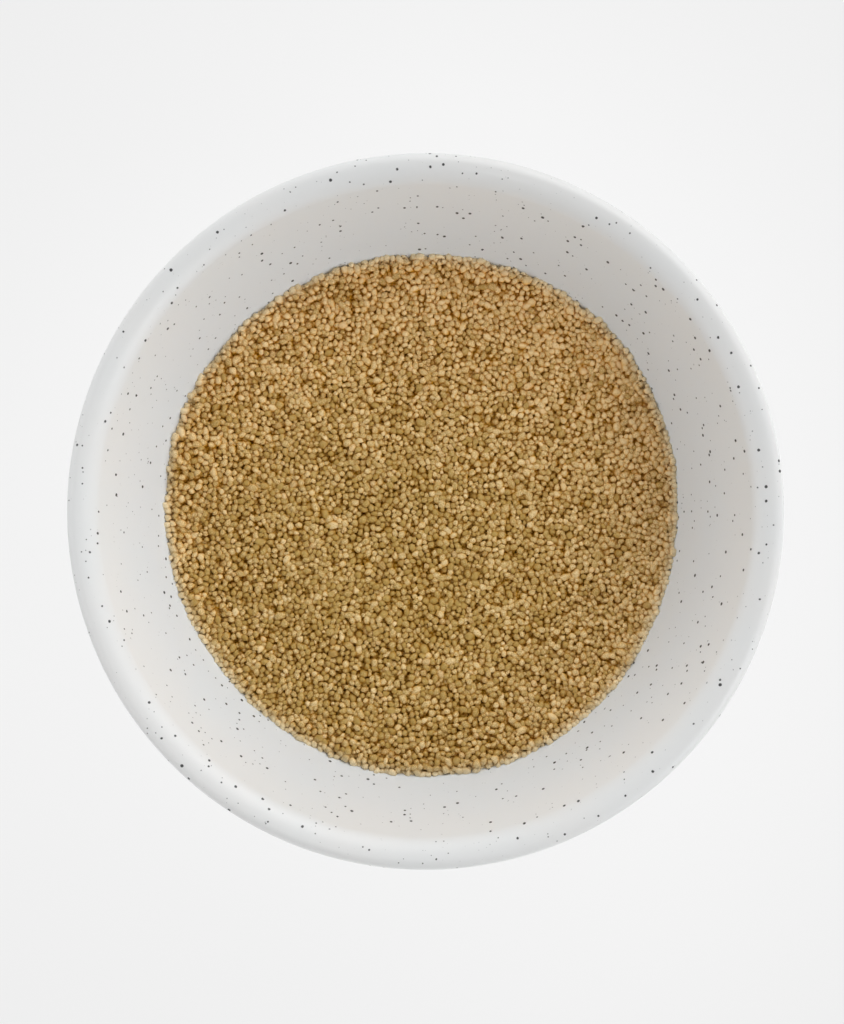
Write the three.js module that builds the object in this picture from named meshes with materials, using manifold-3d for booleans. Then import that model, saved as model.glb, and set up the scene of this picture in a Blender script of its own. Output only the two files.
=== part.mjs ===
// A dish of whole wheat couscous: dry grains lying in a speckled stoneware bowl.
// Millimetres, +Z up. The origin is the centre of the foot ring's flat underside.
// +X and +Y lie in the table's plane, and the grains lie a little higher towards -X.
import * as THREE from "three";
import { mergeVertices } from "three/addons/utils/BufferGeometryUtils.js";
import Module from "manifold-3d";

const wasm = await Module();
wasm.setup();

// Bowl, its rim: tangent arcs that follow each other outwards, each up to a slope over level in degrees
const bowlHeight = 56; // foot to the crest of the rim
const widestRadius = 75.5; // outer face of the rim
const rimArcs = [
  { radius: 5.4, endSlope: 4, steps: 5 }, // the inner wall rolls over softly to the crest
  { radius: 2.3, endSlope: -52, steps: 4 }, // the rim falls off outwards
  { radius: 0.4, endSlope: -72, steps: 1 }, // corner between the top and the outer face
  { radius: 10, endSlope: -90, steps: 2 }, // outer face, flaring out to the widest radius
];

// Bowl, its inside
const wallTaper = 0.48; // mm that the inner wall comes in for each mm down
const floorHeight = 9; // flat middle of the inside
const floorBend = 26; // radius that joins the flat middle to the wall
const bowlBendSteps = 5;

// Bowl, its outside
const wallPull = 9; // how far the outer face runs straight on below the widest radius
const bellyPull = 20; // how far the wall runs straight on from the foot
const bellySlope = 20; // degrees over level at which the wall leaves the foot
const bellySteps = 8;
const footRadius = 38; // where the foot ring meets the wall
const footHeight = 4.5;
const footFlatOuter = 36;
const footFlatInner = 31.5;
const recessRadius = 29.5;
const recessHeight = 2.6; // hollow inside the foot ring
const bowlSides = 60;

// Couscous
const gap = 0.3; // between the grains' solid and the glaze
const fillDepth = 26.3; // crest of the rim to the mean level of the grains at the wall
const fillWaves = [
  // rise and fall of the level round the wall, fading towards the middle
  { turns: 1, height: 1.93, peakAt: 162 },
  { turns: 2, height: 1.12, peakAt: 99 },
  { turns: 3, height: 1.2, peakAt: 41 },
];
const softHills = { height: 0.35, wavelength: 38 }; // gentle unevenness away from the wall
const bumpPitch = 2.18; // from one bump to the next
const bumpRise = [0.25, 0.7]; // how far a bump stands over the mean level
const bumpDip = [0.2, 0.55]; // how far the hollows between bumps lie under it
const bumpScatter = 0.3; // of the step between neighbouring points
const heapBendSteps = 3;
const grainSeed = 4107;

const glaze = new THREE.MeshStandardMaterial({ color: 0xe6e6e2, roughness: 0.18, metalness: 0 });
const grain = new THREE.MeshStandardMaterial({ color: 0xa8854f, roughness: 0.85, metalness: 0 });

const radians = THREE.MathUtils.degToRad;
const wallLean = Math.atan(wallTaper);

// The rim's outline from the inner wall's top over the crest to the widest radius.
function rimOutline() {
  const points = [new THREE.Vector2(0, 0)];
  let slope = Math.PI / 2 - wallLean;
  for (const arc of rimArcs) {
    const start = points[points.length - 1];
    const endSlope = radians(arc.endSlope);
    for (let step = 1; step <= arc.steps; step++) {
      const now = THREE.MathUtils.lerp(slope, endSlope, step / arc.steps);
      const across = arc.radius * (Math.sin(slope) - Math.sin(now));
      const up = arc.radius * (Math.cos(now) - Math.cos(slope));
      points.push(new THREE.Vector2(start.x + across, start.y + up));
    }
    slope = endSlope;
  }
  const widest = points[points.length - 1];
  const crest = Math.max(...points.map((point) => point.y));
  const shift = new THREE.Vector2(widestRadius - widest.x, bowlHeight - crest);
  return points.map((point) => point.add(shift));
}

const rim = rimOutline();

// Radius of the inner wall's straight part at a height.
function wallRadius(height) {
  return rim[0].x - wallTaper * (rim[0].y - height);
}

// The inside from the flat floor's edge round the bend to the wall's straight part, an inset inside the glaze.
function insideBend(inset, steps) {
  const touch = floorHeight + floorBend * (1 - Math.sin(wallLean));
  const centreRadius = wallRadius(touch) - floorBend * Math.cos(wallLean);
  const bend = new THREE.EllipseCurve(
    centreRadius,
    floorHeight + floorBend,
    floorBend - inset,
    floorBend - inset,
    -Math.PI / 2,
    -wallLean,
  );
  return bend.getPoints(steps);
}

// The outer wall from the widest radius down to the foot, as one smooth curve.
function outerWall() {
  const widest = rim[rim.length - 1];
  const foot = new THREE.Vector2(footRadius, footHeight);
  const belly = new THREE.Vector2(Math.cos(radians(bellySlope)), Math.sin(radians(bellySlope)));
  const curve = new THREE.CubicBezierCurve(
    widest,
    new THREE.Vector2(widest.x, widest.y - wallPull),
    belly.multiplyScalar(bellyPull).add(foot),
    foot,
  );
  return curve.getPoints(bellySteps).slice(1);
}

// A closed outline of radii and heights, turned round the Z axis.
function turned(outline) {
  const geometry = new THREE.LatheGeometry([...outline].reverse(), bowlSides);
  return geometry.rotateX(Math.PI / 2);
}

function makeBowl() {
  const outline = [
    new THREE.Vector2(0, floorHeight),
    ...insideBend(0, bowlBendSteps),
    ...rim,
    ...outerWall(),
    new THREE.Vector2(footFlatOuter, 0),
    new THREE.Vector2(footFlatInner, 0),
    new THREE.Vector2(recessRadius, recessHeight),
    new THREE.Vector2(0, recessHeight),
  ];
  const mesh = new THREE.Mesh(turned(outline), glaze);
  mesh.name = "bowl";
  return mesh;
}

// Mean height of the grains at a place on the heap.
function fillHeight(x, y) {
  const share = Math.hypot(x, y) / wallRadius(bowlHeight - fillDepth);
  const angle = Math.atan2(y, x);
  let height = bowlHeight - fillDepth;
  for (const { turns, height: rise, peakAt } of fillWaves) {
    height += rise * share ** turns * Math.cos(turns * (angle - radians(peakAt)));
  }
  const step = (2 * Math.PI) / softHills.wavelength;
  return height + softHills.height * Math.sin(step * x + 1) * Math.cos(step * y);
}

// Repeatable random numbers from 0 to 1.
function seededRandom(seed) {
  let state = seed >>> 0;
  return () => {
    state = (state + 0x6d2b79f5) >>> 0;
    let mixed = Math.imul(state ^ (state >>> 15), state | 1);
    mixed ^= mixed + Math.imul(mixed ^ (mixed >>> 7), mixed | 61);
    return ((mixed ^ (mixed >>> 14)) >>> 0) / 4294967296;
  };
}

// A square block wider than the bowl whose top is the heap's: at every second point of a scattered grid
// stands a bump of a grain's size, and the points round it are the hollows between grains.
function bumpyBlock() {
  const random = seededRandom(grainSeed);
  const pick = ([low, high]) => low + (high - low) * random();
  const step = bumpPitch / Math.SQRT2;
  const steps = 2 * Math.ceil(wallRadius(bowlHeight) / step);
  const halfSide = (steps * step) / 2;
  const row = steps + 1;
  const positions = [];
  const faces = [];
  for (let j = 0; j < row; j++) {
    for (let i = 0; i < row; i++) {
      const x = i * step - halfSide + bumpScatter * step * (2 * random() - 1);
      const y = j * step - halfSide + bumpScatter * step * (2 * random() - 1);
      const offset = (i + j) % 2 === 0 ? pick(bumpRise) : -pick(bumpDip);
      positions.push(x, y, fillHeight(x, y) + offset);
    }
  }
  for (let j = 0; j < steps; j++) {
    for (let i = 0; i < steps; i++) {
      const a = j * row + i;
      const [b, c, d] = [a + 1, a + row + 1, a + row];
      // each cell is split between its two hollows
      faces.push(...((i + j) % 2 === 0 ? [a, b, d, b, c, d] : [a, b, c, a, c, d]));
    }
  }
  // the block's four sides and its underside
  const under = positions.length / 3;
  const topCorners = [0, steps, row * row - 1, steps * row];
  const strides = [1, row, -1, -row];
  for (const [x, y] of [[-1, -1], [1, -1], [1, 1], [-1, 1]]) {
    positions.push(x * halfSide, y * halfSide, 0);
  }
  for (let side = 0; side < 4; side++) {
    const next = (side + 1) % 4;
    for (let n = 0; n < steps; n++) {
      const start = topCorners[side] + n * strides[side];
      faces.push(start, under + side, start + strides[side]);
    }
    faces.push(topCorners[next], under + side, under + next);
  }
  faces.push(under, under + 2, under + 1, under, under + 3, under + 2);
  const geometry = new THREE.BufferGeometry();
  geometry.setAttribute("position", new THREE.Float32BufferAttribute(positions, 3));
  return geometry.setIndex(faces);
}

// A closed geometry as a solid that can be cut.
function solidOf(geometry) {
  const bare = new THREE.BufferGeometry();
  bare.setAttribute("position", geometry.getAttribute("position"));
  bare.setIndex(geometry.getIndex());
  const merged = mergeVertices(bare, 1e-4);
  return new wasm.Manifold(
    new wasm.Mesh({
      numProp: 3,
      vertProperties: merged.getAttribute("position").array,
      triVerts: new Uint32Array(merged.getIndex().array),
    }),
  );
}

// The heap of grains: the room inside the bowl's wall, cut off by the bumpy top.
function makeCouscous() {
  const insetRadius = gap / Math.cos(wallLean);
  const roomTop = bowlHeight - fillDepth / 2;
  const room = turned([
    new THREE.Vector2(0, roomTop),
    new THREE.Vector2(wallRadius(roomTop) - insetRadius, roomTop),
    ...insideBend(gap, heapBendSteps).reverse(),
    new THREE.Vector2(0, floorHeight + gap),
  ]);
  const heap = solidOf(room).intersect(solidOf(bumpyBlock())).getMesh();
  const geometry = new THREE.BufferGeometry();
  geometry.setAttribute("position", new THREE.BufferAttribute(heap.vertProperties, 3));
  geometry.setIndex(new THREE.BufferAttribute(heap.triVerts, 1));
  geometry.computeVertexNormals();
  const mesh = new THREE.Mesh(geometry, grain);
  mesh.name = "couscous";
  return mesh;
}

const dish = new THREE.Group();
dish.add(makeBowl(), makeCouscous());
export default dish;
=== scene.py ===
import math

import bmesh
import bpy
import numpy as np
from mathutils import Matrix, Vector


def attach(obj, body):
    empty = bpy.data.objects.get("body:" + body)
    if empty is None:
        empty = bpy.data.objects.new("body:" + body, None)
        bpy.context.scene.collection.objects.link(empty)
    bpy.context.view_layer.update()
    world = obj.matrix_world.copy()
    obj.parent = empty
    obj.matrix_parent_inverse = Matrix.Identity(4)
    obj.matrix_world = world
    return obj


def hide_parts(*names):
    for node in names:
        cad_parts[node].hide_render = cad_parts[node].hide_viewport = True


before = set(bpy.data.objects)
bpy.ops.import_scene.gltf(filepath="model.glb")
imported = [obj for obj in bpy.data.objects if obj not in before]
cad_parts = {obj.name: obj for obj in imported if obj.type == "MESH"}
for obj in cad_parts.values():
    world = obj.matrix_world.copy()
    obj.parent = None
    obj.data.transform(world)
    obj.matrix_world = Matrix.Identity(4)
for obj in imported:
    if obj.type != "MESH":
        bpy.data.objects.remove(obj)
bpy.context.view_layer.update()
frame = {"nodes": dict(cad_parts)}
scene = bpy.context.scene
mm = 0.001
print("frame loaded:", ", ".join(frame["nodes"]))


# Nodes

def pick(sockets, key):
    # by number, or by name among the sockets that the node's settings leave in use
    if isinstance(key, int):
        return sockets[key]
    return next(socket for socket in sockets if socket.name == key and socket.enabled)


class Wire:
    # a socket that takes part in Python arithmetic: each operator adds one Math node
    def __init__(self, socket):
        self.socket = socket

    def maths(self, operation, *values):
        tree = Tree(self.socket.id_data)
        return tree.add("ShaderNodeMath", {"operation": operation}, dict(enumerate(values)), "Value")

    def __add__(self, other):
        return self.maths("ADD", self, other)

    def __radd__(self, other):
        return self.maths("ADD", other, self)

    def __sub__(self, other):
        return self.maths("SUBTRACT", self, other)

    def __rsub__(self, other):
        return self.maths("SUBTRACT", other, self)

    def __mul__(self, other):
        return self.maths("MULTIPLY", self, other)

    def __rmul__(self, other):
        return self.maths("MULTIPLY", other, self)

    def __truediv__(self, other):
        return self.maths("DIVIDE", self, other)

    def __rtruediv__(self, other):
        return self.maths("DIVIDE", other, self)

    def __lt__(self, other):
        return self.maths("LESS_THAN", self, other)

    def __gt__(self, other):
        return self.maths("GREATER_THAN", self, other)

    def power(self, other):
        return self.maths("POWER", self, other)

    def atLeast(self, other):
        return self.maths("MAXIMUM", self, other)

    def atMost(self, other):
        return self.maths("MINIMUM", self, other)

    def between(self, low, high):
        # 0 at low, 1 at high, smooth in between and flat outside
        tree = Tree(self.socket.id_data)
        settings = {"interpolation_type": "SMOOTHSTEP"}
        sockets = {"Value": self, "From Min": low, "From Max": high}
        return tree.add("ShaderNodeMapRange", settings, sockets, "Result")

    def also(self, output):
        # another output of the same node
        return Wire(pick(self.socket.node.outputs, output))


class Tree:
    def __init__(self, tree):
        self.tree = tree

    def add(self, kind, settings=None, sockets=None, output=0):
        # any node: its type, its settings, the values or wires of its sockets, and the output that is used
        node = self.tree.nodes.new(kind)
        for name, value in (settings or {}).items():
            setattr(node, name, value)
        for key, value in (sockets or {}).items():
            if isinstance(value, Wire):
                self.tree.links.new(value.socket, pick(node.inputs, key))
            else:
                pick(node.inputs, key).default_value = value
        return Wire(pick(node.outputs, output)) if node.outputs else None

    def mixColours(self, factor, first, second, blend="MIX"):
        settings = {"data_type": "RGBA", "blend_type": blend}
        return self.add("ShaderNodeMix", settings, {"Factor": factor, "A": first, "B": second}, "Result")

    def noise(self, place, size, detail=2.0, roughness=0.5, output="Fac"):
        sockets = {"Vector": place, "Scale": 1 / size, "Detail": detail, "Roughness": roughness}
        return self.add("ShaderNodeTexNoise", None, sockets, output)

    def vectors(self, operation, *values, output="Vector"):
        return self.add("ShaderNodeVectorMath", {"operation": operation}, dict(enumerate(values)), output)

    def attribute(self, name):
        return self.add("ShaderNodeAttribute", {"attribute_name": name}, output="Fac")


def emptied(data):
    # a new material or world, and its tree with no node in it
    data.use_nodes = True
    data.node_tree.nodes.clear()
    return data, Tree(data.node_tree)


def newGroup(name, sockets):
    # a Geometry Nodes group whose sizes are its named inputs
    group = bpy.data.node_groups.new(name, "GeometryNodeTree")
    group.interface.new_socket("Geometry", in_out="OUTPUT", socket_type="NodeSocketGeometry")
    group.interface.new_socket("Geometry", in_out="INPUT", socket_type="NodeSocketGeometry")
    for title, kind in sockets.items():
        group.interface.new_socket(title, in_out="INPUT", socket_type="NodeSocket" + kind)
    start = group.nodes.new("NodeGroupInput")
    return group, Tree(group), {socket.name: Wire(socket) for socket in start.outputs}


def endGroup(tree, geometry, given):
    # the end of each group: the material, then the output
    sockets = {"Geometry": geometry, "Material": given["Material"]}
    made = tree.add("GeometryNodeSetMaterial", None, sockets, "Geometry")
    tree.add("NodeGroupOutput", None, {"Geometry": made})


def runNodes(piece, group, values):
    # runs the group on the piece and keeps the result as a plain mesh
    modifier = piece.modifiers.new(group.name, "NODES")
    modifier.node_group = group
    for item in group.interface.items_tree:
        if item.in_out == "INPUT" and item.name in values:
            modifier[item.identifier] = values[item.name]
    graph = bpy.context.evaluated_depsgraph_get()
    mesh = bpy.data.meshes.new_from_object(piece.evaluated_get(graph), depsgraph=graph)
    piece.modifiers.clear()
    piece.data = mesh
    mesh.name = piece.name


def newPiece(name, points, faces=()):
    mesh = bpy.data.meshes.new(name)
    mesh.from_pydata(points, [], faces)
    piece = bpy.data.objects.new(name, mesh)
    scene.collection.objects.link(piece)
    return piece


def dress(piece, slot, *nodes):
    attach(piece, "root")
    if nodes:
        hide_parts(*nodes)


# Camera

camera = {
    "aim": (-0.45 * mm, -0.73 * mm, 56 * mm),  # middle of the picture, at the height of the rim
    "azimuth": 27.0,  # degrees from -Y, looking along +Y at 0
    "elevation": 87.5,  # almost straight down
    "distance": 420 * mm,
    "lens": 70.68,
}


def makeCamera():
    data = bpy.data.cameras.new("camera")
    data.lens = camera["lens"]
    azimuth = math.radians(camera["azimuth"])
    elevation = math.radians(camera["elevation"])
    back = Vector((
        math.cos(elevation) * math.sin(azimuth),
        -math.cos(elevation) * math.cos(azimuth),
        math.sin(elevation),
    ))
    right = Vector((0, 1, 0)).cross(back).normalized()
    turn = Matrix((right, back.cross(right), back)).transposed()
    piece = bpy.data.objects.new("camera", data)
    place = Vector(camera["aim"]) + camera["distance"] * back
    piece.matrix_world = Matrix.Translation(place) @ turn.to_4x4()
    scene.collection.objects.link(piece)
    scene.camera = piece


makeCamera()
print("camera placed")


# Bowl

bowl = {
    "height": 56 * mm,  # foot to the crest of the rim
    "widestRadius": 75.5 * mm,
    # arcs of the rim from the inner wall outwards: radius, slope at the end in degrees over level, steps
    "rimArcs": ((5.4 * mm, 4, 20), (2.3 * mm, -52, 12), (0.4 * mm, -72, 4), (10 * mm, -90, 6)),
    "wallTaper": 0.48,  # how far the inner wall comes in for each unit down
    "floorHeight": 9 * mm,
    "floorBend": 26 * mm,
    "bendSteps": 24,
    "wallPull": 9 * mm,  # straight run under the widest radius
    "bellyPull": 20 * mm,  # straight run out of the foot
    "bellySlope": 20,
    "bellySteps": 36,
    "footRadius": 38 * mm,
    "footHeight": 4.5 * mm,
    "footFlat": (36 * mm, 31.5 * mm),
    "recessRadius": 29.5 * mm,
    "recessHeight": 2.6 * mm,
    "footRound": 0.7 * mm,
    "segments": 256,
}
wallLean = math.atan(bowl["wallTaper"])


def rimOutline():
    points = [Vector((0, 0))]
    slope = math.pi / 2 - wallLean
    for radius, end, steps in bowl["rimArcs"]:
        start = points[-1]
        end = math.radians(end)
        for step in range(1, steps + 1):
            now = slope + (end - slope) * step / steps
            across = math.sin(slope) - math.sin(now)
            points.append(start + radius * Vector((across, math.cos(now) - math.cos(slope))))
        slope = end
    crest = max(point.y for point in points)
    shift = Vector((bowl["widestRadius"] - points[-1].x, bowl["height"] - crest))
    return [point + shift for point in points]


rim = rimOutline()


def wallRadius(height):
    return rim[0].x - bowl["wallTaper"] * (rim[0].y - height)


def insideBend(inset, steps):
    # from the flat floor's edge round the bend to the straight wall, an inset inside the glaze
    bend = bowl["floorBend"]
    touch = bowl["floorHeight"] + bend * (1 - math.sin(wallLean))
    centre = Vector((wallRadius(touch) - bend * math.cos(wallLean), bowl["floorHeight"] + bend))
    turns = (-math.pi / 2 + (math.pi / 2 - wallLean) * step / steps for step in range(steps + 1))
    return [centre + (bend - inset) * Vector((math.cos(turn), math.sin(turn))) for turn in turns]


def outerWall():
    # one Bezier curve from the widest radius down to the foot
    slope = math.radians(bowl["bellySlope"])
    foot = Vector((bowl["footRadius"], bowl["footHeight"]))
    widest = rim[-1]
    under = widest - Vector((0, bowl["wallPull"]))
    belly = foot + bowl["bellyPull"] * Vector((math.cos(slope), math.sin(slope)))
    steps = bowl["bellySteps"]
    shares = (step / steps for step in range(1, steps + 1))
    return [
        (1 - t) ** 3 * widest + 3 * t * (1 - t) ** 2 * under + 3 * t * t * (1 - t) * belly + t ** 3 * foot
        for t in shares
    ]


def footOutline():
    # the foot ring's corners, each rounded by a short curve of three points
    flatOuter, flatInner = bowl["footFlat"]
    corners = [
        outerWall()[-2],
        Vector((bowl["footRadius"], bowl["footHeight"])),
        Vector((flatOuter, 0)),
        Vector((flatInner, 0)),
        Vector((bowl["recessRadius"], bowl["recessHeight"])),
        Vector((0, bowl["recessHeight"])),
    ]
    points = []
    for before, corner, after in zip(corners, corners[1:], corners[2:]):
        first = corner + bowl["footRound"] * (before - corner).normalized()
        last = corner + bowl["footRound"] * (after - corner).normalized()
        points += [first, (first + 2 * corner + last) / 4, last]
    return points[1:]  # the outer wall's last point but one stands in for the first


def turned(name, outline, segments):
    # turns an outline of radii and heights round the Z axis; points on the axis become poles
    points, rings, faces = [], [], []
    for radius, height in outline:
        count = segments if radius > 0 else 1
        rings.append([len(points) + n for n in range(count)])
        for n in range(count):
            angle = 2 * math.pi * n / segments
            points.append((radius * math.cos(angle), radius * math.sin(angle), height))
    for low, high in zip(rings, rings[1:]):
        for n in range(segments):
            m = (n + 1) % segments
            corners = [low[n % len(low)], low[m % len(low)], high[m % len(high)], high[n % len(high)]]
            faces.append(list(dict.fromkeys(corners)))
    piece = newPiece(name, points, faces)
    turnOut(piece.data)
    return piece


def turnOut(mesh):
    # faces outwards, smooth
    work = bmesh.new()
    work.from_mesh(mesh)
    bmesh.ops.recalc_face_normals(work, faces=work.faces)
    work.to_mesh(mesh)
    work.free()
    mesh.shade_smooth()


glaze = {
    "warm": (0.798, 0.8, 0.793),  # slow drift of the glaze's tint
    "cool": (0.79, 0.8, 0.798),
    "driftSize": 22 * mm,
    "driftRange": (0.35, 0.65),  # noise at which the tint is all warm and all cool
    "bounceCancel": (0.97, 1.0, 1.035),  # painted cooling inside, which takes out the warm light that the couscous bounces onto the wall
    "bounceCancelFrom": (54 * mm, 36 * mm),
    "bounceCancelPast": 2 * mm,  # this tint goes so far past the line of the inner wall, and takes in the foot
    "roughness": 0.45,
    "coat": 0.12,
    "coatRoughness": 0.08,
    "clay": (0.5, 0.42, 0.33),  # bare clay under the foot ring
    "clayHeight": 0.5 * mm,
    "clayRougher": 0.6,  # how much rougher it is than the glaze
    # specks: spacing, largest radius, share of places that hold one, darkness
    "specks": (
        (1.4 * mm, 0.42 * mm, 0.42, 0.97),
        (1.15 * mm, 0.2 * mm, 0.4, 0.9),
        (0.97 * mm, 0.12 * mm, 0.4, 0.8),
    ),
    "speckEdge": 0.1 * mm,  # how softly a speck ends in the glaze
    "speckRagged": (0.45 * mm, 0.15 * mm),  # unevenness of its outline: size and depth
    "layerShift": (310 * mm, 170 * mm, 0),  # from one layer's pattern to the next
    "speckColour": (0.03, 0.03, 0.032),
    "waveSize": 14 * mm,
    "waveHeight": 0.02 * mm,
}


def glazeMaterial():
    material, tree = emptied(bpy.data.materials.new("speckledGlaze"))
    place = tree.add("ShaderNodeTexCoord", output="Object")
    drift = tree.noise(place, glaze["driftSize"], 1).between(*glaze["driftRange"])
    colour = tree.mixColours(drift, glaze["warm"] + (1,), glaze["cool"] + (1,))
    # each layer of specks is a 3-D Voronoi pattern, cut where the surface runs through its cells
    raggedSize, raggedDepth = glaze["speckRagged"]
    ragged = tree.noise(place, raggedSize, 1, output="Color")
    uneven = tree.vectors("ADD", place, tree.vectors("MULTIPLY", ragged, (raggedDepth,) * 3))
    for number, (spacing, radius, share, darkness) in enumerate(glaze["specks"]):
        moved = tree.vectors("ADD", uneven, tuple(number * step for step in glaze["layerShift"]))
        cells = tree.add("ShaderNodeTexVoronoi", None, {"Vector": moved, "Scale": 1 / spacing}, "Distance")
        chance = tree.add("ShaderNodeSeparateColor", None, {"Color": cells.also("Color")}, "Red")
        # a cell's own random number sets its speck's radius, and none below the share
        size = (chance - (1 - share)) / share * (radius / spacing)
        edge = glaze["speckEdge"] / spacing
        speck = ((size - cells) / edge).atLeast(0).atMost(1) * darkness
        colour = tree.mixColours(speck, colour, glaze["speckColour"] + (1,))
    height = tree.add("ShaderNodeSeparateXYZ", None, {"Vector": place}, "Z")
    # painted cooling against the couscous's bounced light: on the inner wall below the rim, and on the
    # foot
    away = tree.vectors("LENGTH", tree.vectors("MULTIPLY", place, (1, 1, 0)), output="Value")
    inside = away < rim[0].x + glaze["bounceCancelPast"] - bowl["wallTaper"] * (rim[0].y - height)
    bounceCancelShare = height.between(*glaze["bounceCancelFrom"]) * inside
    colour = tree.mixColours(bounceCancelShare, colour, glaze["bounceCancel"] + (1,), "MULTIPLY")
    bare = height < glaze["clayHeight"]
    colour = tree.mixColours(bare, colour, glaze["clay"] + (1,))
    wave = tree.noise(place, glaze["waveSize"], 1)
    relief = {"Strength": 1, "Distance": glaze["waveHeight"], "Height": wave}
    bumps = tree.add("ShaderNodeBump", None, relief, "Normal")
    shader = tree.add("ShaderNodeBsdfPrincipled", None, {
        "Base Color": colour,
        "Roughness": glaze["roughness"] + glaze["clayRougher"] * bare,
        "Coat Weight": glaze["coat"] * (1 - bare),
        "Coat Roughness": glaze["coatRoughness"],
        "Normal": bumps,
    }, "BSDF")
    tree.add("ShaderNodeOutputMaterial", None, {"Surface": shader})
    return material


def makeBowl():
    outline = [Vector((0, bowl["floorHeight"]))] + insideBend(0, bowl["bendSteps"]) + rim
    outline += outerWall()[:-1] + footOutline() + [Vector((0, bowl["recessHeight"]))]
    piece = turned("bowlGlazed", outline, bowl["segments"])
    piece.data.materials.append(glazeMaterial())
    dress(piece, "glaze", "bowl")


makeBowl()
print("bowl made")


# Couscous, its level

heap = {
    "gap": 0.3 * mm,  # core to glaze
    "depth": 25.6 * mm,  # crest of the rim to the mean level at the wall
    # rise and fall of the level round the wall: turns, height, angle of the peak
    "waves": ((1, 1.93 * mm, 162), (2, 1.12 * mm, 99), (3, 1.2 * mm, 41)),
    "hills": (0.35 * mm, 38 * mm),  # gentle unevenness: height and wavelength
    "grainLayer": 1.9 * mm,  # loose grains lie this deep over the core
}


def heapHeight(x, y):
    level = bowl["height"] - heap["depth"]
    share = np.hypot(x, y) / wallRadius(level)
    angle = np.arctan2(y, x)
    height = level
    for turns, rise, peak in heap["waves"]:
        height = height + rise * share ** turns * np.cos(turns * (angle - math.radians(peak)))
    hill, wavelength = heap["hills"]
    step = 2 * math.pi / wavelength
    return height + hill * np.sin(step * x + 1) * np.cos(step * y)


# Couscous, how its grains lie

grains = {
    "diameter": 1.16 * mm,  # middle one of all sizes
    "spread": 0.19,  # of the sizes, as the deviation of their logarithm
    "smallest": 0.7 * mm,
    "largest": 1.9 * mm,
    "swell": 1.2,  # drawn size over the size at which they pack
    "fullness": 0.74,  # share of the layer that grains fill
    "fall": 0.05 * mm,  # how far they sink in each step
    "steps": 160,  # in which they sink and make room for each other
    "settle": 50,  # last steps, in which they only make room
    "search": 4,  # steps from one search for neighbours to the next
    "push": 0.22,  # share of an overlap that each of two grains gives way in a step
    "lowest": 0.8,  # a grain's middle is at least this far over the core, in its radii
    "crown": (0.15 * mm, 0.1 * mm),  # how far the top ones stand over the level, and its scatter
    # at the wall they may lie higher: by how much at most, how near it, and how rare the highest are
    "wallRise": (0.9 * mm, 2.2 * mm, 3),
    "wallGap": -0.38 * mm,  # below 0 they lie this much closer to the glaze than their size allows
    "seed": 4107,
}
goldenTurn = math.pi * (3 - math.sqrt(5))
tiny = 1e-9  # keeps a distance that is divided by off zero


def nearPairs(places, reach):
    # all pairs of grains nearer than the reach, found by the cells of a square grid, seen from above
    cells = np.floor(places[:, :2] / reach).astype(np.int64)
    cells -= cells.min(axis=0) - 1
    row = cells[:, 0].max() + 2
    keys = cells[:, 1] * row + cells[:, 0]
    order = np.argsort(keys, kind="stable")
    keys = keys[order]
    found = []
    for step in (0, 1, row - 1, row, row + 1):
        first = np.searchsorted(keys, keys + step, "left")
        last = np.searchsorted(keys, keys + step, "right")
        if step == 0:
            first = np.arange(len(keys)) + 1
        counts = np.maximum(last - first, 0)
        one = np.repeat(np.arange(len(keys)), counts)
        ramp = np.arange(counts.sum()) - np.repeat(np.cumsum(counts) - counts, counts)
        two = np.repeat(first, counts) + ramp
        found.append(np.stack((order[one], order[two])))
    one, two = np.concatenate(found, axis=1)
    close = np.linalg.norm(places[one] - places[two], axis=1) < reach
    return one[close], two[close]


def strewGrains(random):
    # the grains' places all over their layer, their radii, and how high over the level each may lie
    edge = wallRadius(bowl["height"] - heap["depth"])
    # the mean volume of balls whose diameters' logarithms scatter by the spread
    mean = math.pi / 6 * grains["diameter"] ** 3 * math.exp(4.5 * grains["spread"] ** 2)
    count = int(grains["fullness"] * math.pi * edge ** 2 * heap["grainLayer"] / mean)
    radii = grains["diameter"] / 2 * np.exp(grains["spread"] * random.standard_normal(count))
    radii = np.clip(radii, grains["smallest"] / 2, grains["largest"] / 2)
    angle = goldenTurn * np.arange(count)
    away = edge * np.sqrt((np.arange(count) + 0.5) / count)
    places = np.stack((away * np.cos(angle), away * np.sin(angle), np.zeros(count)), axis=1)
    base = heapHeight(places[:, 0], places[:, 1]) - heap["grainLayer"]
    places[:, 2] = base + radii + (heap["grainLayer"] - 2 * radii) * random.random(count)
    crown, scatter = grains["crown"]
    highest = crown + scatter * random.standard_normal(count) - radii
    wallRise, reach, rarity = grains["wallRise"]
    highest += wallRise * random.random(count) ** rarity * (away > edge - reach)
    return places, radii, highest


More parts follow.
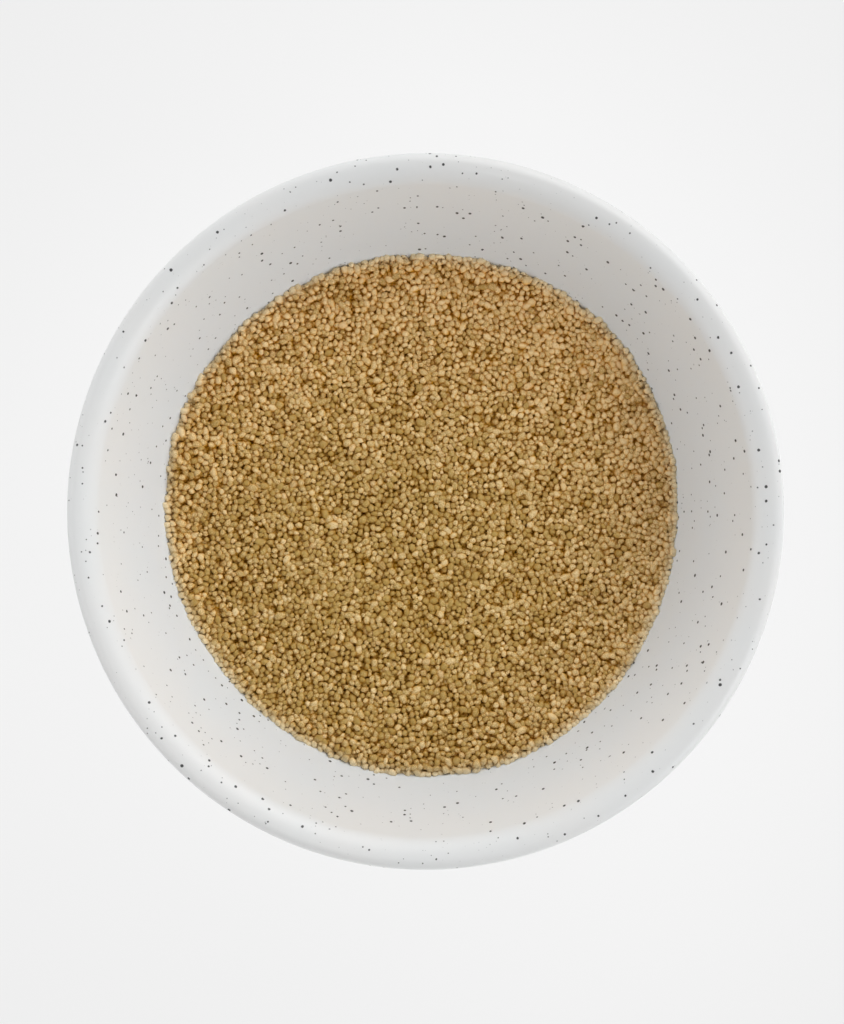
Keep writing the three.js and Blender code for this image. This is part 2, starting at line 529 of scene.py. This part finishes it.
def settleGrains(random):
    # lets round grains sink onto the core and make room for each other, inside the bowl's wall
    places, radii, highest = strewGrains(random)
    count = len(radii)
    for step in range(grains["steps"]):
        if step % grains["search"] == 0:
            one, two = nearPairs(places, grains["largest"])
        if step < grains["steps"] - grains["settle"]:
            places[:, 2] -= grains["fall"]
        apart = places[one] - places[two]
        distance = np.maximum(np.linalg.norm(apart, axis=1), tiny)
        overlap = np.maximum(radii[one] + radii[two] - distance, 0)
        push = apart * (grains["push"] * overlap / distance)[:, None]
        for axis in range(3):
            places[:, axis] += np.bincount(one, push[:, axis], count)
            places[:, axis] -= np.bincount(two, push[:, axis], count)
        level = heapHeight(places[:, 0], places[:, 1])
        places[:, 2] = np.minimum(places[:, 2], level + highest)
        places[:, 2] = np.maximum(places[:, 2], level - heap["grainLayer"] + grains["lowest"] * radii)
        inset = (grains["swell"] * radii + grains["wallGap"]) / math.cos(wallLean)
        room = wallRadius(places[:, 2]) - inset
        away = np.maximum(np.hypot(places[:, 0], places[:, 1]), tiny)
        places[:, :2] *= np.minimum(1, room / away)[:, None]
    over = places[:, 2] + radii - heapHeight(places[:, 0], places[:, 1])
    print("grains settled:", count, "deepest overlap", round(overlap.max() / mm, 2), "mm, tops at",
          np.round(np.percentile(over, (50, 90, 99, 100)) / mm, 2), "mm")
    return places, grains["swell"] * radii


# Couscous, the grains' shapes and looks

pebbles = {
    "shapes": 16,
    "corners": 18,
    "lumps": 0.25,  # how far a corner is pulled in or out
    "scatter": 0.5,  # how far a corner leaves the even spiral that it starts on, in its spacing
    "shortest": 0.95,  # length over width
    "longest": 1.5,
    "flattest": 0.7,  # height over width
    "tilt": 0.5,  # how far a grain leans at most, in radians
    "seed": 77,
}


def pebbleShapes():
    # lumpy grains of radius 1: the hull of a few corners spread over a ball, kept out of the scene
    random = np.random.default_rng(pebbles["seed"])
    shapes = bpy.data.collections.new("pebbleShapes")
    corners = pebbles["corners"]
    spacing = math.sqrt(4 / corners)
    for number in range(pebbles["shapes"]):
        work = bmesh.new()
        for corner in range(corners):
            height = 1 - (2 * corner + 1) / corners
            around = math.sqrt(1 - height * height)
            angle = corner * goldenTurn
            place = Vector((around * math.cos(angle), around * math.sin(angle), height))
            place += pebbles["scatter"] * spacing * Vector(random.uniform(-1, 1, 3))
            work.verts.new(place.normalized() * (1 + pebbles["lumps"] * random.uniform(-1, 1)))
        bmesh.ops.convex_hull(work, input=work.verts)
        mesh = bpy.data.meshes.new("pebble%02d" % number)
        work.to_mesh(mesh)
        work.free()
        shapes.objects.link(bpy.data.objects.new(mesh.name, mesh))
    return shapes


def grainNodes():
    # puts a pebble on each point, turned and stretched at random
    group, tree, given = newGroup("scatterGrains", {
        "Shapes": "Collection",
        "Material": "Material",
        "Shortest": "Float",
        "Longest": "Float",
        "Flattest": "Float",
        "Tilt": "Float",
        "Seed": "Int",
    })

    def draw(kind, low, high, number):
        sockets = {"Min": low, "Max": high, "Seed": given["Seed"] + number}
        return tree.add("FunctionNodeRandomValue", {"data_type": kind}, sockets, "Value")

    shapes = tree.add("GeometryNodeCollectionInfo", None, {
        "Collection": given["Shapes"],
        "Separate Children": True,
        "Reset Children": True,
    })
    named = {"data_type": "FLOAT"}
    radius = tree.add("GeometryNodeInputNamedAttribute", named, {"Name": "radius"}, "Attribute")
    length = draw("FLOAT", given["Shortest"], given["Longest"], 1) * radius
    height = draw("FLOAT", given["Flattest"], 1.0, 2) * radius
    size = tree.add("ShaderNodeCombineXYZ", None, {"X": length, "Y": radius, "Z": height}, "Vector")
    lean = draw("FLOAT", -1.0, 1.0, 3) * given["Tilt"]
    roll = draw("FLOAT", -1.0, 1.0, 4) * given["Tilt"]
    turn = draw("FLOAT", 0.0, 2 * math.pi, 5)
    angles = tree.add("ShaderNodeCombineXYZ", None, {"X": lean, "Y": roll, "Z": turn}, "Vector")
    rotation = tree.add("FunctionNodeEulerToRotation", None, {"Euler": angles}, "Rotation")
    placed = tree.add("GeometryNodeInstanceOnPoints", None, {
        "Points": given["Geometry"],
        "Instance": shapes,
        "Pick Instance": True,
        "Instance Index": draw("INT", 0, pebbles["shapes"] - 1, 6),
        "Rotation": rotation,
        "Scale": size,
    }, "Instances")
    real = tree.add("GeometryNodeRealizeInstances", None, {"Geometry": placed}, "Geometry")
    smooth = tree.add("GeometryNodeSetShadeSmooth", None, {"Geometry": real}, "Geometry")
    endGroup(tree, smooth, given)
    return group


# kinds of grain: share of all, and its colours from the darkest to the palest grain
grainKinds = {
    "grainsTan": {"share": 0.36, "colour": (0.5, 0.318, 0.075), "pale": (0.92, 0.69, 0.35)},
    "grainsStraw": {"share": 0.33, "colour": (0.53, 0.342, 0.087), "pale": (0.94, 0.717, 0.38)},
    "grainsOchre": {"share": 0.26, "colour": (0.49, 0.307, 0.07), "pale": (0.89, 0.653, 0.315)},
    "grainsBran": {"share": 0.05, "colour": (0.49, 0.3, 0.078), "pale": (0.89, 0.638, 0.32)},
}
grainLook = {
    "deep": (0.74, 0.525, 0.035),  # painted shade deep between the grains, as a tint over their colour
    "deepFrom": (0.1 * mm, 1.2 * mm),
    "sides": 0.7,  # how much of that painted shade a grain's steep sides take
    "tint": (0.44, 0.33),  # from dark to pale: middle one, and its scatter
    "paintedLightAtWall": 0.4,  # painted light and shade: how much paler they are at the wall than in the middle
    # painted light: paler on one side and darker on the other, as if lit from that side: how much, and the
    # angle of the paler side
    "paintedLightSide": (0.36, 62),
    "warm": (1.07, 0.99, 0.94),  # painted warm light, a warmer tint towards the wall
    "paintedWarmShare": (0.7, 0.5),  # how much of it at the wall, and how much more on the side painted paler
    "wallReach": 2.6 * mm,  # this near to the wall, painted light stands for the glaze lighting up the gaps and paling the grains
    "wallFade": 0.95,  # share of the painted shade between them that is gone there
    "wallPaintedLight": (0.75, (0.93, 0.81, 0.57)),  # share and colour of the painted light that shows there in place of their colour
    "mottle": (0.26 * mm, 2.4),  # flecks from dark to pale within a grain: size and strength
    "roughness": (0.42, 0.15),  # smoothest, and how much rougher flecks may be
    "gloss": 0.4,  # strength of the shine; 0.5 is that of most surfaces
    "grit": (0.4 * mm, 0.1 * mm, 0.6),  # fine bumps: size, height and strength
}


def grainMaterial(name, look):
    material, tree = emptied(bpy.data.materials.new(name))
    place = tree.add("ShaderNodeTexCoord", output="Object")
    # the grains' own values, which are 0 all over the core
    tint = tree.attribute("tint")
    deep = tree.attribute("deep")
    atWall = tree.attribute("atWall")
    mottleSize, mottleStrength = grainLook["mottle"]
    mottle = tree.noise(place, mottleSize, 2)
    pale = (tint + (mottle - 0.5) * mottleStrength).atLeast(0).atMost(1)
    colour = tree.mixColours(pale, look["colour"] + (1,), look["pale"] + (1,))
    # painted warm light towards the wall and on the side painted paler
    colour = tree.mixColours(tree.attribute("warm"), colour, grainLook["warm"] + (1,), "MULTIPLY")
    # painted light from the glaze on the grains next to the wall
    wallShare, wallLightColour = grainLook["wallPaintedLight"]
    colour = tree.mixColours(atWall * wallShare, colour, wallLightColour + (1,))
    # painted shade: darker deep under the top and on the grains' steep sides, and mostly gone at the wall
    normal = tree.add("ShaderNodeNewGeometry", output="Normal")
    up = tree.add("ShaderNodeSeparateXYZ", None, {"Vector": normal}, "Z")
    shade = (deep + (1 - up) * grainLook["sides"]).atMost(1) * (1 - atWall * grainLook["wallFade"])
    colour = tree.mixColours(shade, colour, grainLook["deep"] + (1,), "MULTIPLY")
    gritSize, gritHeight, gritStrength = grainLook["grit"]
    grit = tree.noise(place, gritSize, 2)
    relief = {"Strength": gritStrength, "Distance": gritHeight, "Height": grit}
    bumps = tree.add("ShaderNodeBump", None, relief, "Normal")
    smoothest, rougher = grainLook["roughness"]
    shader = tree.add("ShaderNodeBsdfPrincipled", None, {
        "Base Color": colour,
        "Roughness": smoothest + rougher * mottle,
        "Specular IOR Level": grainLook["gloss"],
        "Normal": bumps,
    }, "BSDF")
    tree.add("ShaderNodeOutputMaterial", None, {"Surface": shader})
    return material


core = {
    "rings": 90,  # of its top
    "segments": 384,
    "bendSteps": 16,
    "sideDrop": 2.5 * mm,  # its side starts this far under the mean level of its top
    "bumpHeight": 0.5 * mm,
    "bumpFall": 1.5,  # how steeply a bump falls off towards its edge
    "bumpSlope": 0.5,  # bumps stand only where it faces up at least this much
    # colours darker than the loose grains': painted shade of the couscous deep in the heap
    "colour": (0.2, 0.11, 0.03),
    "pale": (0.28, 0.17, 0.06),
}


def coreMesh():
    # an even grid of rings on top, then rings down the side, closed at both ends
    inset = heap["gap"] / math.cos(wallLean)
    rings, segments = core["rings"], core["segments"]
    level = bowl["height"] - heap["depth"] - heap["grainLayer"]
    points, loops, faces = [], [], []

    def addRing(radius, height=None):
        loops.append(len(points))
        for n in range(segments):
            angle = 2 * math.pi * n / segments
            x, y = radius * math.cos(angle), radius * math.sin(angle)
            points.append((x, y, heapHeight(x, y) - heap["grainLayer"] if height is None else height))

    edge = wallRadius(level) - inset
    for ring in range(1, rings + 1):
        addRing(edge * ring / rings)
    # the last ring is drawn in to the wall at its own height
    for n in range(loops[-1], len(points)):
        x, y, z = points[n]
        fit = (wallRadius(z) - inset) / math.hypot(x, y)
        points[n] = (x * fit, y * fit, z)
    for radius, height in reversed(insideBend(heap["gap"], core["bendSteps"])):
        if height < level - core["sideDrop"]:
            addRing(radius, height)
    for low, high in zip(loops, loops[1:]):
        for n in range(segments):
            m = (n + 1) % segments
            faces.append((low + n, low + m, high + m, high + n))
    top = len(points)
    points.append((0, 0, float(heapHeight(0.0, 0.0)) - heap["grainLayer"]))
    points.append((0, 0, bowl["floorHeight"] + heap["gap"]))
    for n in range(segments):
        m = (n + 1) % segments
        faces.append((top, loops[0] + m, loops[0] + n))
        faces.append((top + 1, loops[-1] + n, loops[-1] + m))
    piece = newPiece("couscousCore", points, faces)
    turnOut(piece.data)
    return piece


def coreNodes():
    # raises bumps, as round cells, wherever the surface faces up
    group, tree, given = newGroup("pebbledTop", {
        "Bump Size": "Float",
        "Bump Height": "Float",
        "Bump Fall": "Float",
        "Bump Slope": "Float",
        "Material": "Material",
    })
    place = tree.add("GeometryNodeInputPosition", output="Position")
    normal = tree.add("GeometryNodeInputNormal", output="Normal")
    upward = tree.add("ShaderNodeSeparateXYZ", None, {"Vector": normal}, "Z") > given["Bump Slope"]
    scale = 1.0 / given["Bump Size"]
    cells = tree.add("ShaderNodeTexVoronoi", None, {"Vector": place, "Scale": scale}, "Distance")
    rise = (1 - cells * cells * given["Bump Fall"]) * given["Bump Height"] * upward
    offset = tree.add("ShaderNodeCombineXYZ", None, {"Z": rise}, "Vector")
    sockets = {"Geometry": given["Geometry"], "Offset": offset}
    endGroup(tree, tree.add("GeometryNodeSetPosition", None, sockets, "Geometry"), given)
    return group


def makeCore():
    # the couscous under its loose grains, coloured dark as painted shade, with bumps of their size on top
    piece = coreMesh()
    runNodes(piece, coreNodes(), {
        "Bump Size": grains["diameter"],
        "Bump Height": core["bumpHeight"],
        "Bump Fall": core["bumpFall"],
        "Bump Slope": core["bumpSlope"],
        "Material": grainMaterial("grainsPacked", core),
    })
    dress(piece, "grains", "couscous")


def addValues(mesh, title, values):
    # one number for each of the mesh's points
    mesh.attributes.new(title, "FLOAT", "POINT").data.foreach_set("value", values.astype("f"))


def markPlaces(mesh):
    # for the material, how deep each point lies under the top and how near the wall, both from 0 to 1;
    # these set the painted shade between the grains and the painted light at the wall
    places = np.empty(3 * len(mesh.vertices))
    mesh.vertices.foreach_get("co", places)
    x, y, z = places.reshape(-1, 3).T
    start, end = grainLook["deepFrom"]
    deep = np.clip((heapHeight(x, y) - z - start) / (end - start), 0, 1)
    atWall = np.clip(1 - (wallRadius(z) - np.hypot(x, y)) / grainLook["wallReach"], 0, 1)
    addValues(mesh, "atWall", atWall)
    addValues(mesh, "deep", deep)


def makeGrains():
    random = np.random.default_rng(grains["seed"])
    places, radii = settleGrains(random)
    angle = np.arctan2(places[:, 1], places[:, 0])
    share = np.hypot(places[:, 0], places[:, 1]) / wallRadius(bowl["height"] - heap["depth"])
    middle, scatter = grainLook["tint"]
    # painted light across the food, paler towards one side
    side, litSideAngle = grainLook["paintedLightSide"]
    towards = share * np.cos(angle - math.radians(litSideAngle))
    tint = middle + scatter * random.standard_normal(len(radii))
    # painted light and shade on top of the random tone: paler at the wall, darker in the middle, paler on
    # one side
    tint += grainLook["paintedLightAtWall"] * (share ** 2 - 0.5) + side * towards
    # how much painted warm light each grain takes
    warmOut, warmSide = grainLook["paintedWarmShare"]
    warm = np.clip(warmOut * share ** 2 + warmSide * towards, 0, 1)
    kinds = random.choice(len(grainKinds), len(radii), p=[kind["share"] for kind in grainKinds.values()])
    shapes = pebbleShapes()
    group = grainNodes()
    for number, (name, look) in enumerate(grainKinds.items()):
        chosen = kinds == number
        piece = newPiece(name, places[chosen].tolist())
        for title, values in {"radius": radii, "tint": tint, "warm": warm}.items():
            addValues(piece.data, title, values[chosen])
        runNodes(piece, group, {
            "Shapes": shapes,
            "Material": grainMaterial(name, look),
            "Shortest": pebbles["shortest"],
            "Longest": pebbles["longest"],
            "Flattest": pebbles["flattest"],
            "Tilt": pebbles["tilt"],
            "Seed": 10 * number,  # ten apart, as each tree draws with six seeds after its own
        })
        markPlaces(piece.data)
        dress(piece, "grains")
        print(name, int(chosen.sum()), "grains")


makeCore()
print("core made")
makeGrains()


# Floor and light

studio = {
    "floorSize": 3000 * mm,
    "floorGrey": 0.1,  # share of the light that the floor gives back
    "floorGlow": 0.83,  # and its own light, as on a light table
    "floorEdge": 0.92,  # glow well away from the dish, against the middle
    "floorFade": (60 * mm, 200 * mm),  # how far from the middle the glow starts and stops to fall off
    # soft windows in the sky: azimuth from +X and elevation in degrees, strength, and how narrow they are
    "windows": (
        (90, 12, 0.9, 6),
        (180, 12, 2.31, 6),
        (315, 12, 2.09, 6),
        (60, 32, 3.63, 10),
        (210, 38, 2.89, 60),
        (330, 38, 5.95, 60),
    ),
}
glintLamp = {
    "place": (-75 * mm, -205 * mm, 873 * mm),
    "size": 60 * mm,
    "power": 0.16,
}


def makeFloor():
    size = studio["floorSize"] / 2
    corners = [(-size, -size, 0), (size, -size, 0), (size, size, 0), (-size, size, 0)]
    floor = newPiece("floor", corners, [(0, 1, 2, 3)])
    material, tree = emptied(bpy.data.materials.new("lightTable"))
    place = tree.add("ShaderNodeTexCoord", output="Object")
    away = tree.vectors("LENGTH", place, output="Value")
    glow = studio["floorGlow"] * (1 - (1 - studio["floorEdge"]) * away.between(*studio["floorFade"]))
    grey = (studio["floorGrey"],) * 3 + (1,)
    diffuse = tree.add("ShaderNodeBsdfDiffuse", None, {"Color": grey}, "BSDF")
    shine = tree.add("ShaderNodeEmission", None, {"Color": glow, "Strength": 1.0}, "Emission")
    shader = tree.add("ShaderNodeAddShader", None, {0: diffuse, 1: shine}, "Shader")
    tree.add("ShaderNodeOutputMaterial", None, {"Surface": shader})
    floor.data.materials.append(material)


def makeSky():
    scene.world, tree = emptied(bpy.data.worlds.new("studio"))
    direction = tree.add("ShaderNodeTexCoord", output="Generated")
    light = 0
    for azimuth, elevation, strength, focus in studio["windows"]:
        turn, rise = math.radians(azimuth), math.radians(elevation)
        towards = (math.cos(rise) * math.cos(turn), math.cos(rise) * math.sin(turn), math.sin(rise))
        facing = tree.vectors("DOT_PRODUCT", direction, towards, output="Value")
        light += strength * facing.atLeast(0).power(focus)
    background = tree.add("ShaderNodeBackground", None, {"Color": light, "Strength": 1.0}, "Background")
    tree.add("ShaderNodeOutputWorld", None, {"Surface": background})


def makeLamp():
    # a small round lamp for the glints, which points at the foot of the bowl
    data = bpy.data.lights.new("glintLamp", "AREA")
    data.shape = "DISK"
    data.size = glintLamp["size"]
    data.energy = glintLamp["power"]
    lamp = bpy.data.objects.new("glintLamp", data)
    lamp.location = glintLamp["place"]
    lamp.rotation_euler = Vector(glintLamp["place"]).to_track_quat("Z", "Y").to_euler()
    scene.collection.objects.link(lamp)


makeFloor()
makeSky()
makeLamp()
scene.view_settings.view_transform = "Standard"
print("floor and light made")
